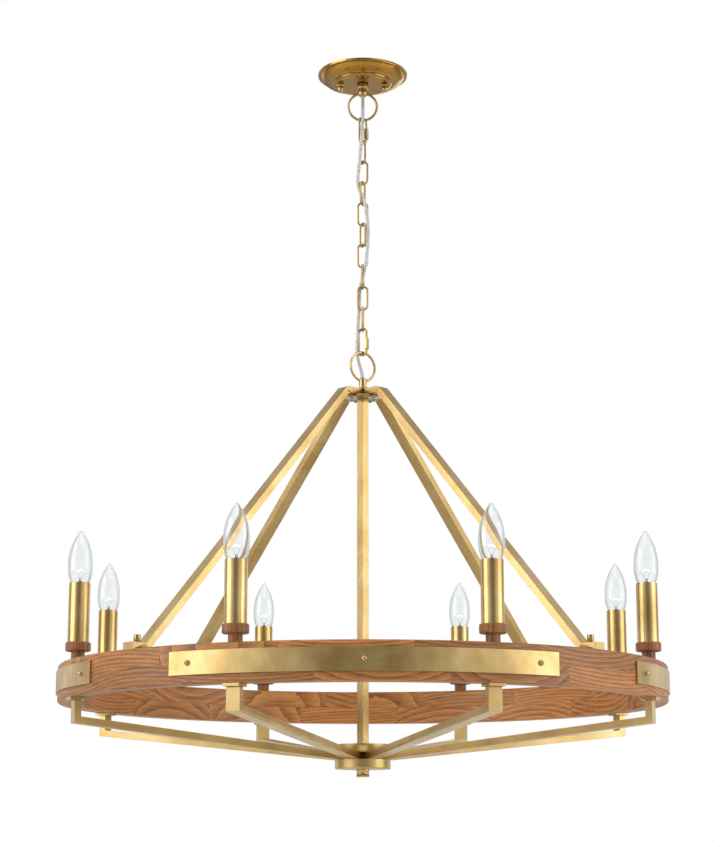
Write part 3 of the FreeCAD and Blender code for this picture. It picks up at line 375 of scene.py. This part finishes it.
dress(mottled("steel_zinc_plated", "#C9CCCE", "#A9ADB1", 260.0, 0.35, 1.0),
      "ceiling_crossbar", "canopy_studs", "canopy_nipple", "nipple_locknut",
      "hub_arm_screws", "foot_bolts", "tie_pipe", "candle_nipples")
dress(mottled("screw_green_dipped", "#3E8A4C", "#2F7440", 300.0, 0.4), "ground_screw")
dress(mottled("jacket_white_plastic", "#E4E1D8", "#D6D2C8", 120.0, 0.45),
      "stem_lead", "arm_leads")
dress(mottled("crimp_cap_nylon", "#D9D3C0", "#C9C2AE", 90.0, 0.5), "lead_splices")
dress(mottled("socket_cream_phenolic", "#E6DDC6", "#D6CBB0", 60.0, 0.35), "candle_sockets")
print("hidden hardware dressed")

# %% [markdown]
# The ring is glued up from short boards of an open-grained hardwood in two courses. Each board
# was cut straight, so its grain runs along its own chord and ends at the glue lines, and every
# board has its own tone. One grain bent round the whole ring would be simpler, but it would
# look like a printed strip. So each point of the ring first finds its board from its angle
# round the axis, and then its place in that board.

# %% The ring's boards
BOARDS_ROUND = 16
BOARD_ANGLE = math.radians(360 / BOARDS_ROUND)
COURSE_SHIFT = math.radians(3)       # each course is turned by this, one each way
GLUE_LINE_Z = -0.9709                # between the lower and the upper course
BOARDS_APART = (3.1, 0.9, 2.3)       # how far apart in the log two boards may lie, in metres
COURSE_KEY = 37.0                    # keeps the two courses' boards apart in the noise


def own_board(mat, x, y, z):
    """A point's place in its board, the board's own random value, and the way from its middle."""
    back = add(mat, "Math", {0: y, 1: -1.0}, operation="MULTIPLY")
    angle = add(mat, "Math", {0: x, 1: back}, operation="ARCTAN2")
    upper = add(mat, "Math", {0: z, 1: GLUE_LINE_Z}, operation="GREATER_THAN")
    shift = add(mat, "Math", {0: upper, 1: 2 * COURSE_SHIFT, 2: -COURSE_SHIFT},
                operation="MULTIPLY_ADD")
    turned = add(mat, "Math", {0: angle, 1: shift}, operation="ADD")
    share = add(mat, "Math", {0: turned, 1: 1 / BOARD_ANGLE}, operation="MULTIPLY")
    number = add(mat, "Math", {0: share}, operation="ROUND")
    centre = add(mat, "Math", {0: number, 1: BOARD_ANGLE}, operation="MULTIPLY")
    off = add(mat, "Math", {0: turned, 1: centre}, operation="SUBTRACT")
    y_square = add(mat, "Math", {0: y, 1: y}, operation="MULTIPLY")
    square = add(mat, "Math", {0: x, 1: x, 2: y_square}, operation="MULTIPLY_ADD")
    reach = add(mat, "Math", {0: square}, operation="SQRT")
    sine = add(mat, "Math", {0: off}, operation="SINE")
    cosine = add(mat, "Math", {0: off}, operation="COSINE")
    along = add(mat, "Math", {0: reach, 1: sine}, operation="MULTIPLY")
    deep = add(mat, "Math", {0: reach, 1: cosine}, operation="MULTIPLY")
    key = add(mat, "Math", {0: upper, 1: COURSE_KEY, 2: number}, operation="MULTIPLY_ADD")
    chance = add(mat, "TexWhiteNoise", {"W": key}, noise_dimensions="1D")
    board = add(mat, "CombineXYZ", {0: along, 1: deep, 2: z})
    away = add(mat, "VectorMath", {0: chance.outputs["Color"], 1: BOARDS_APART},
               operation="MULTIPLY")
    place = add(mat, "VectorMath", {0: board, 1: away}, operation="ADD").outputs[0]
    return place, chance.outputs["Value"], off


print("boards", BOARDS_ROUND, "to a course")

# %% [markdown]
# A glue line is a dark hair between two boards. It could be a groove in the solid, but it is
# flush on the real ring, so it is only a mask: where the point is within half a millimetre of
# its board's end, or of the line between the courses.

# %% The glue lines
SEAM_SOFT, SEAM_FULL = 0.0011, 0.0004    # radians from the board's end
COURSE_SOFT, COURSE_FULL = 0.0005, 0.0001    # metres from the line between the courses
SEAM_DEPTH = 0.4
SEAM_TONE = "#4A2A18"


def glue_lines(mat, z, off):
    """A mask of the glue lines, from 0 to SEAM_DEPTH."""
    edge = add(mat, "Math", {0: off}, operation="ABSOLUTE")
    end = add(mat, "MapRange", {"Value": edge, "From Min": BOARD_ANGLE / 2 - SEAM_SOFT,
                                "From Max": BOARD_ANGLE / 2 - SEAM_FULL})
    tall = add(mat, "Math", {0: z, 1: GLUE_LINE_Z}, operation="SUBTRACT")
    tall = add(mat, "Math", {0: tall}, operation="ABSOLUTE")
    level = add(mat, "MapRange", {"Value": tall, "From Min": COURSE_SOFT,
                                  "From Max": COURSE_FULL})
    seam = add(mat, "Math", {0: end, 1: level}, operation="MAXIMUM")
    return add(mat, "Math", {0: seam, 1: SEAM_DEPTH}, operation="MULTIPLY")


print("glue lines", SEAM_TONE)

# %% [markdown]
# The wood is planed, sanded and oiled to a warm brown. Its year rings are circles round a pith
# that lies off to one side, and a long soft noise bends them into flames. Fibres streak it, and
# pores are short dark dashes along the grain that also dent the surface. A photograph of wood
# would be quicker, but it can't follow each board. The candles' cups and necks are turned from
# the same wood in one piece, with the grain upright, and oiled darker.

# %% Oiled wood: how dense each pattern is, per metre along and across the grain
FLAMES = (4, 16, 16)             # bends 250 mm long and 60 mm wide
FLAME_LIFT = (0, 0.006, 0.006)   # how far they move the rings, in metres
YEAR_RINGS = (0.8, 75, 75)       # about 4 mm apart
FIBRES = (10, 240, 240)          # streaks 100 mm long and 4 mm wide
PORES = (55, 1300, 1300)         # dashes 18 mm long and 0.8 mm wide
PORE_DARK = (0.42, 0.36, 0.32, 1)
WHITE = (1, 1, 1, 1)


def oiled_wood(name, pale, mid, dark, boards):
    """Straight-grained wood, glued up from boards or in one piece with its grain upright."""
    mat, shader = surface(name)
    xyz = add(mat, "SeparateXYZ", {0: add(mat, "TexCoord").outputs["Object"]})
    x, y, z = xyz.outputs
    if boards:
        place, chance, off = own_board(mat, x, y, z)
    else:
        place = add(mat, "CombineXYZ", {0: z, 1: x, 2: y}).outputs[0]
    wide = add(mat, "Mapping", {"Vector": place, "Scale": FLAMES})
    bend = add(mat, "TexNoise", {"Vector": wide, "Scale": 1.0, "Detail": 2.0})
    lift = add(mat, "VectorMath", {0: bend.outputs["Color"], 1: FLAME_LIFT},
               operation="MULTIPLY")
    grown = add(mat, "VectorMath", {0: place, 1: lift}, operation="ADD")
    log = add(mat, "Mapping", {"Vector": grown, "Scale": YEAR_RINGS})
    rings = add(mat, "TexWave", {"Vector": log, "Scale": 1.0, "Distortion": 1.2, "Detail": 2.0,
                                 "Detail Scale": 1.5},
                wave_type="RINGS", rings_direction="X", wave_profile="SAW")
    dense = add(mat, "Mapping", {"Vector": place, "Scale": PORES})
    pores = add(mat, "TexNoise", {"Vector": dense, "Scale": 1.0, "Detail": 3.0,
                                  "Roughness": 0.65})
    drawn = add(mat, "Mapping", {"Vector": place, "Scale": FIBRES})
    fibre = add(mat, "TexNoise", {"Vector": drawn, "Scale": 1.0, "Detail": 4.0})
    grain = add(mat, "Mix", {0: 0.6, 2: rings.outputs["Fac"], 3: fibre}, data_type="FLOAT")
    hue = add(mat, "ValToRGB", {"Fac": grain},
              stops=[(0.12, tone(pale)), (0.85, tone(dark)), (0.5, tone(mid))])
    dashes = add(mat, "ValToRGB", {"Fac": pores}, stops=[(0.3, PORE_DARK), (0.46, WHITE)])
    hue = add(mat, "Mix", {0: 0.75, 6: hue, 7: dashes}, data_type="RGBA",
              blend_type="MULTIPLY").outputs[2]
    if boards:
        level = add(mat, "MapRange", {"Value": chance, "To Min": 0.76, "To Max": 1.16})
        hue = add(mat, "HueSaturation", {"Color": hue, "Value": level}).outputs[0]
        hue = add(mat, "Mix", {0: glue_lines(mat, z, off), 6: hue, 7: tone(SEAM_TONE)},
                  data_type="RGBA").outputs[2]
    gloss = add(mat, "MapRange", {"Value": pores, "From Min": 0.3, "From Max": 0.6,
                                  "To Min": 0.62, "To Max": 0.44})
    pits = add(mat, "Bump", {"Height": pores, "Strength": 0.25, "Distance": 0.0004})
    add(mat, shader, {"Base Color": hue, "Roughness": gloss, "Normal": pits, "IOR": 1.47,
                      "Coat Weight": 0.12, "Coat Roughness": 0.35})
    return mat


dress(oiled_wood("wood_oiled_boards", "#C98C49", "#A5692F", "#56300F", True), "rim_blocks")
dress(oiled_wood("wood_turned_oiled", "#A06A32", "#865122", "#5A3310", False),
      "candle_cups", "candle_necks")
print("wood on the ring, the cups and the necks")

# %% [markdown]
# The cord's jacket is clear and smooth, and the tinned strands under it lie in a steep twist:
# light grey with fine darker lines that wind round, under a glossy skin. Real strands under
# real glass would be slow to render at this size. Stripes on the tube's map, under a clear
# coat, look the same from a metre away.

# %% Clear jacket over tinned strands
STRANDS = 6
TWIST = 900.0    # radians per metre: one turn of the strands in 42 mm
cord_finish, shader = surface("cord_clear_over_tinned")
spot = add(cord_finish, "SeparateXYZ", {0: add(cord_finish, "UVMap", uv_map="way_and_turn")})
twist = add(cord_finish, "Math", {0: spot.outputs[0], 1: TWIST}, operation="MULTIPLY")
lay = add(cord_finish, "Math", {0: spot.outputs[1], 1: 2 * math.pi * STRANDS, 2: twist},
          operation="MULTIPLY_ADD")
strand = add(cord_finish, "Math", {0: lay}, operation="SINE")
hue = add(cord_finish, "ValToRGB", {"Fac": strand},
          stops=[(0.0, tone("#A2A19D")), (0.5, tone("#CAC9C5"))])
add(cord_finish, shader, {"Base Color": hue, "Metallic": 0.25, "Roughness": 0.38,
                          "Coat Weight": 0.9, "Coat Roughness": 0.08})
dress(cord_finish, *[c.name for c in cords])
print("cord dressed")

# %% [markdown]
# Each bulb is a small clear torpedo of thin blown glass with a drawn tip, a pressed glass stem
# that carries two wires and a coiled filament, and a threaded brass cap. A solid lump with a
# glass shader would bend the view like a lens. So the glass is a closed double wall. Its colour
# is painted darker where it is seen at a slant: a painted shade along its rim, for the dark edge
# that real thin glass shows.

# %% Bulb finishes
clear_glass, shader = surface("glass_clear_thin")
place = add(clear_glass, "TexCoord").outputs["Object"]
dust = add(clear_glass, "TexNoise", {"Vector": place, "Scale": 90.0, "Detail": 3.0})
sheen = add(clear_glass, "MapRange", {"Value": dust, "To Min": 0.0, "To Max": 0.05})
# The glass colour runs from a pale tint at the middle to grey where the wall is seen at a slant:
# painted shade along the rim.
slant = add(clear_glass, "LayerWeight", {"Blend": 0.35})
glass_tint_and_painted_rim_shade = add(clear_glass, "ValToRGB", {"Fac": slant.outputs["Facing"]},
                stops=[(0.2, tone("#F6F8F8")), (0.88, tone("#78838A"))])
add(clear_glass, shader, {"Base Color": glass_tint_and_painted_rim_shade, "Transmission Weight": 1.0, "IOR": 1.5,
                          "Roughness": sheen})

hot_wire, shader = surface("filament_hot_tungsten")
place = add(hot_wire, "TexCoord").outputs["Object"]
heat = add(hot_wire, "TexNoise", {"Vector": place, "Scale": 900.0, "Detail": 1.0})
warm = add(hot_wire, "ValToRGB", {"Fac": heat},
           stops=[(0.35, tone("#FFB070")), (0.65, tone("#FFD8A8"))])
add(hot_wire, shader, {"Base Color": tone("#D08A60"), "Emission Color": warm,
                       "Emission Strength": 9.0, "Roughness": 0.4})

wire_metal = mottled("wire_nickel", "#B9B4AA", "#8F8A80", 500.0, 0.3, 1.0)
cap_brass = satin_brass("cap_rolled_brass", (600, 600, 3000), pale="#D8BC7E", deep="#B8944E",
                        rough=0.25)
print("bulb finishes made")

# %% [markdown]
# Blown glass has no corners: the torpedo's outline is a row of arcs, each through three
# points read at the sleeve, the belly, the shoulder and the tip. A spline would need more
# points for the same line and could bulge between them.


# %% The bulb's outlines, in millimetres from the top of the sleeve
def arc_through(a, b, c, steps):
    """Points on the arc from a to c that passes b, without a itself."""
    (ax, ay), (bx, by), (cx, cy) = a, b, c
    a2, b2, c2 = ax**2 + ay**2, bx**2 + by**2, cx**2 + cy**2
    d = 2 * (ax * (by - cy) + bx * (cy - ay) + cx * (ay - by))
    ux = (a2 * (by - cy) + b2 * (cy - ay) + c2 * (ay - by)) / d
    uy = (a2 * (cx - bx) + b2 * (ax - cx) + c2 * (bx - ax)) / d
    start, middle, end = [math.atan2(y - uy, x - ux) for x, y in (a, b, c)]
    sweep = (end - start) % (2 * math.pi)
    if (middle - start) % (2 * math.pi) > sweep:
        sweep -= 2 * math.pi
    r = math.hypot(ax - ux, ay - uy)
    turns = [start + sweep * i / steps for i in range(1, steps + 1)]
    return [(ux + r * math.cos(t), uy + r * math.sin(t)) for t in turns]


def inset(profile, wall):
    """The profile moved inwards by the wall."""
    found = []
    for i, (r, z) in enumerate(profile):
        (r0, z0), (r1, z1) = profile[max(i - 1, 0)], profile[min(i + 1, len(profile) - 1)]
        size = math.hypot(r1 - r0, z1 - z0)
        found.append((r - wall * (z1 - z0) / size, z + wall * (r1 - r0) / size))
    return found


GLASS_WALL = 0.6
GLASS_FOOT_Z, TIP_Z = -4.5, 75.3
NEAR_AXIS_R = 0.1    # the turned wall stops just short of the axis
OUTER = [(6.2, GLASS_FOOT_Z), (6.2, -3.5)]
OUTER += arc_through((6.2, -3.5), (10.4, -1.9), (13.2, 1.2), 6)
OUTER += arc_through((13.2, 1.2), (16.6, 11.0), (17.5, 24.0), 12)
OUTER += arc_through((17.5, 24.0), (14.8, 48.4), (4.0, 71.4), 22)
OUTER += arc_through((4.0, 71.4), (2.7, 74.0), (0.4, TIP_Z), 8)
inner = [(r, z) for r, z in inset(OUTER, GLASS_WALL) if r > 0.4 and z > GLASS_FOOT_Z]
GLASS = OUTER + [(NEAR_AXIS_R, TIP_Z), (NEAR_AXIS_R, inner[-1][1])]
GLASS += inner[::-1] + [(6.2 - GLASS_WALL, GLASS_FOOT_Z)]
print("glass outline", len(GLASS), "points")

# %% [markdown]
# The cap's thread is rolled into thin sheet, so it is round and shallow: root and crest take
# turns up the profile. Rings stand for the true spiral, which the socket hides.

# %% Cap, stem, wires and filament, in millimetres from the top of the sleeve
THREADS, THREAD_PITCH = 6, 2.4
CREST_R, ROOT_R = 5.9, 5.45
CAP = [(0.3, -25.7), (1.2, -25.7), (2.4, -25.4), (2.6, -24.4), (4.6, -23.4), (5.6, -21.6)]
for k in reversed(range(THREADS)):
    CAP += [(ROOT_R, -8.7 - THREAD_PITCH * k), (CREST_R, -7.6 - THREAD_PITCH * k)]
CAP += [(CREST_R, -6.5), (CREST_R, -4.9), (5.3, -4.3)]
STEM = [(0.3, -4.4), (4.6, -4.4), (3.9, -1.5), (2.6, 1.2), (1.9, 3.0), (1.7, 6.6), (1.1, 7.2),
        (0.3, 7.4)]
WIRE = [(0.9, 2), (1.0, 6), (2.2, 9), (4.2, 12.5), (4.6, 15.5), (4.7, 17.5)]
WIRE_R = 0.22
COIL_HALF, COIL_FOOT_Z, COIL_RISE = 4.7, 17.2, 2.2    # a low arch between the wires' ends
COIL_R, COIL_WIRE_R = 0.42, 0.18
COIL_TURNS, COIL_STEPS = 24, 240


def coil_points(centre):
    """The filament's coil along its arch, in metres."""
    points = []
    for k in range(COIL_STEPS + 1):
        t = k / COIL_STEPS
        x = -COIL_HALF + 2 * COIL_HALF * t
        z = COIL_FOOT_Z + COIL_RISE * math.sin(math.pi * t)
        turn = 2 * math.pi * COIL_TURNS * t
        round_x = Vector((x, COIL_R * math.cos(turn), z + COIL_R * math.sin(turn)))
        points.append(centre + round_x / 1000)
    return points


print("cap, stem, wires and filament outlined")

# %% [markdown]
# The CAD bulb stays for collision, and these pieces stand for it in the same place. All ride
# on the bulb's own body, so that they come out of the socket with it. The bulbs could share
# one mesh, but each is written at its place in the frame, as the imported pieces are.

# %% The eight bulbs
CANDLES, FIRST_CANDLE_DEG, CANDLE_STEP_DEG = 8, 22.5, 45
CANDLE_CIRCLE_R = 0.436
SLEEVE_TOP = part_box("candle_sleeves")[1].z


def metres(profile, up):
    """A profile in millimetres as one in metres, raised."""
    return [(r / 1000, z / 1000 + up) for r, z in profile]


for i in range(1, CANDLES + 1):
    azimuth = math.radians(FIRST_CANDLE_DEG + CANDLE_STEP_DEG * (i - 1))
    at = Vector((CANDLE_CIRCLE_R * math.sin(azimuth), -CANDLE_CIRCLE_R * math.cos(azimuth),
                 SLEEVE_TOP))
    glass = lathe(f"bulb_glass_{i}", metres(GLASS, at.z), at, 56, closed=True)
    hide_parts(f"bulb_{i}")
    stem = lathe(f"bulb_stem_{i}", metres(STEM, at.z), at, 32)
    cap = lathe(f"bulb_cap_{i}", metres(CAP, at.z), at, 40)
    dressed = [(glass, clear_glass), (stem, clear_glass), (cap, cap_brass)]
    for hand, side in (("L", -1), ("R", 1)):
        way_up = [Vector((side * x, 0, z)) / 1000 + at for x, z in WIRE]
        dressed.append((tube(f"bulb_wire_{i}_{hand}", way_up, WIRE_R / 1000, 8), wire_metal))
    filament = tube(f"bulb_filament_{i}", coil_points(at), COIL_WIRE_R / 1000, 6)
    dressed.append((filament, hot_wire))
    for obj, finish in dressed:
        dress(finish, obj.name)
        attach(obj, f"bulb_{i}")
print("bulbs", CANDLES, "with glass, stem, wires, filament and cap")

# %% [markdown]
# Edges of sawn tube and sheet are broken by a file before the rub: a narrow rounding that
# catches a thin line of light. The solids have sharp corners there. A Bevel modifier rounds
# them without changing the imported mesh, once a Weld modifier has joined its seams.

# %% Broken edges on the flat-sided metal
EDGES = {  # width of the rounding, in millimetres
    "upper_arms": 0.5, "lower_arms": 0.5, "stem_tube": 0.6, "arm_plates": 0.5,
    "hub_top_plate": 0.5, "hub_top_disc": 0.5, "foot_nuts": 0.4, "ceiling_crossbar": 0.3,
}
SEAM_REACH = 0.00002
SHARP = math.radians(40)
for name, width in EDGES.items():
    obj = nodes[name]
    weld = obj.modifiers.new("seam_weld", "WELD")
    weld.merge_threshold = SEAM_REACH
    bevel = obj.modifiers.new("broken_edge", "BEVEL")
    bevel.width, bevel.segments, bevel.limit_method = width / 1000, 2, "ANGLE"
    bevel.angle_limit, bevel.harden_normals = SHARP, True
print("edges broken on", len(EDGES), "nodes")

# %% [markdown]
# The room is a plain white studio. One even white world would light the object flat and leave
# its metal without shape. So the world shows white to the camera and through the glass and
# gives a soft light, but what the metal mirrors of it is dark in front and behind, bright at a
# slant to both sides, and dimmer again straight to the sides, as between real soft boxes.

# %% The room
WALL_FRONT = (0.30, 0.29, 0.28, 1)
WALL_SLANT = (1.25, 1.25, 1.25, 1)
WALL_SIDE = (0.50, 0.50, 0.50, 1)
AMBIENT = 0.5
world = bpy.data.worlds.new("white_studio")
bpy.context.scene.world = world
world.use_nodes = True
world.node_tree.nodes.clear()
ray = add(world, "LightPath")
direction = add(world, "SeparateXYZ", {0: add(world, "TexCoord").outputs["Generated"]})
aside = add(world, "Math", {0: direction.outputs[0]}, operation="ABSOLUTE")
walls = add(world, "ValToRGB", {"Fac": aside},
            stops=[(0.25, WALL_FRONT), (0.95, WALL_SIDE), (0.66, WALL_SLANT)])
mirrored = add(world, "Background", {"Color": walls, "Strength": 1.0})
ambient = add(world, "Background", {"Color": WHITE, "Strength": AMBIENT})
shown = add(world, "Background", {"Color": WHITE, "Strength": 1.0})
soft = add(world, "MixShader", {0: ray.outputs["Is Glossy Ray"], 1: ambient, 2: mirrored})
seen = add(world, "Math", {0: ray.outputs["Is Camera Ray"],
                           1: ray.outputs["Is Transmission Ray"]}, operation="MAXIMUM")
add(world, "OutputWorld", {0: add(world, "MixShader", {0: seen, 1: soft, 2: shown})})
print("room", world.name)

# %% [markdown]
# A white floor under the wheel keeps a faint shadow and sends light up to the undersides. The
# lamps are large squares, whose light is as soft as that of a soft box: two from the sides,
# one from above and in front, and a weak one from behind for the edges. Spheres or spots would
# leave hard points on the polished brass.

# %% Floor and lamps
FLOOR_Z, FLOOR_HALF = -1.45, 6
CORNERS = ((-1, -1), (1, -1), (1, 1), (-1, 1))
floor = piece("floor", [(FLOOR_HALF * x, FLOOR_HALF * y, FLOOR_Z) for x, y in CORNERS],
              [(0, 1, 2, 3)], False)
paper, shader = surface("floor_white_paper")
add(paper, shader, {"Base Color": tone("#F2F2F0"), "Roughness": 0.9})
dress(paper, "floor")

WHEEL_MIDDLE = Vector((0, 0, -0.8))


def lamp(name, place, size, watts):
    """A square soft lamp that faces the wheel."""
    light = bpy.data.lights.new(name, "AREA")
    light.size, light.energy = size, watts
    obj = bpy.data.objects.new(name, light)
    obj.location = place
    obj.rotation_euler = (WHEEL_MIDDLE - Vector(place)).to_track_quat("-Z", "Y").to_euler()
    obj.visible_transmission = False  # through the clear bulbs, the white room shows instead
    bpy.context.scene.collection.objects.link(obj)


lamp("key_left", (-2.8, -1.2, 0.2), 2.2, 50)
lamp("fill_right", (2.9, -0.9, -0.2), 2.2, 36)
lamp("over_front", (0, -1.0, 1.9), 2.4, 40)
lamp("rim_back", (0.6, 2.8, -0.2), 1.6, 9)
print("floor and 4 lamps")
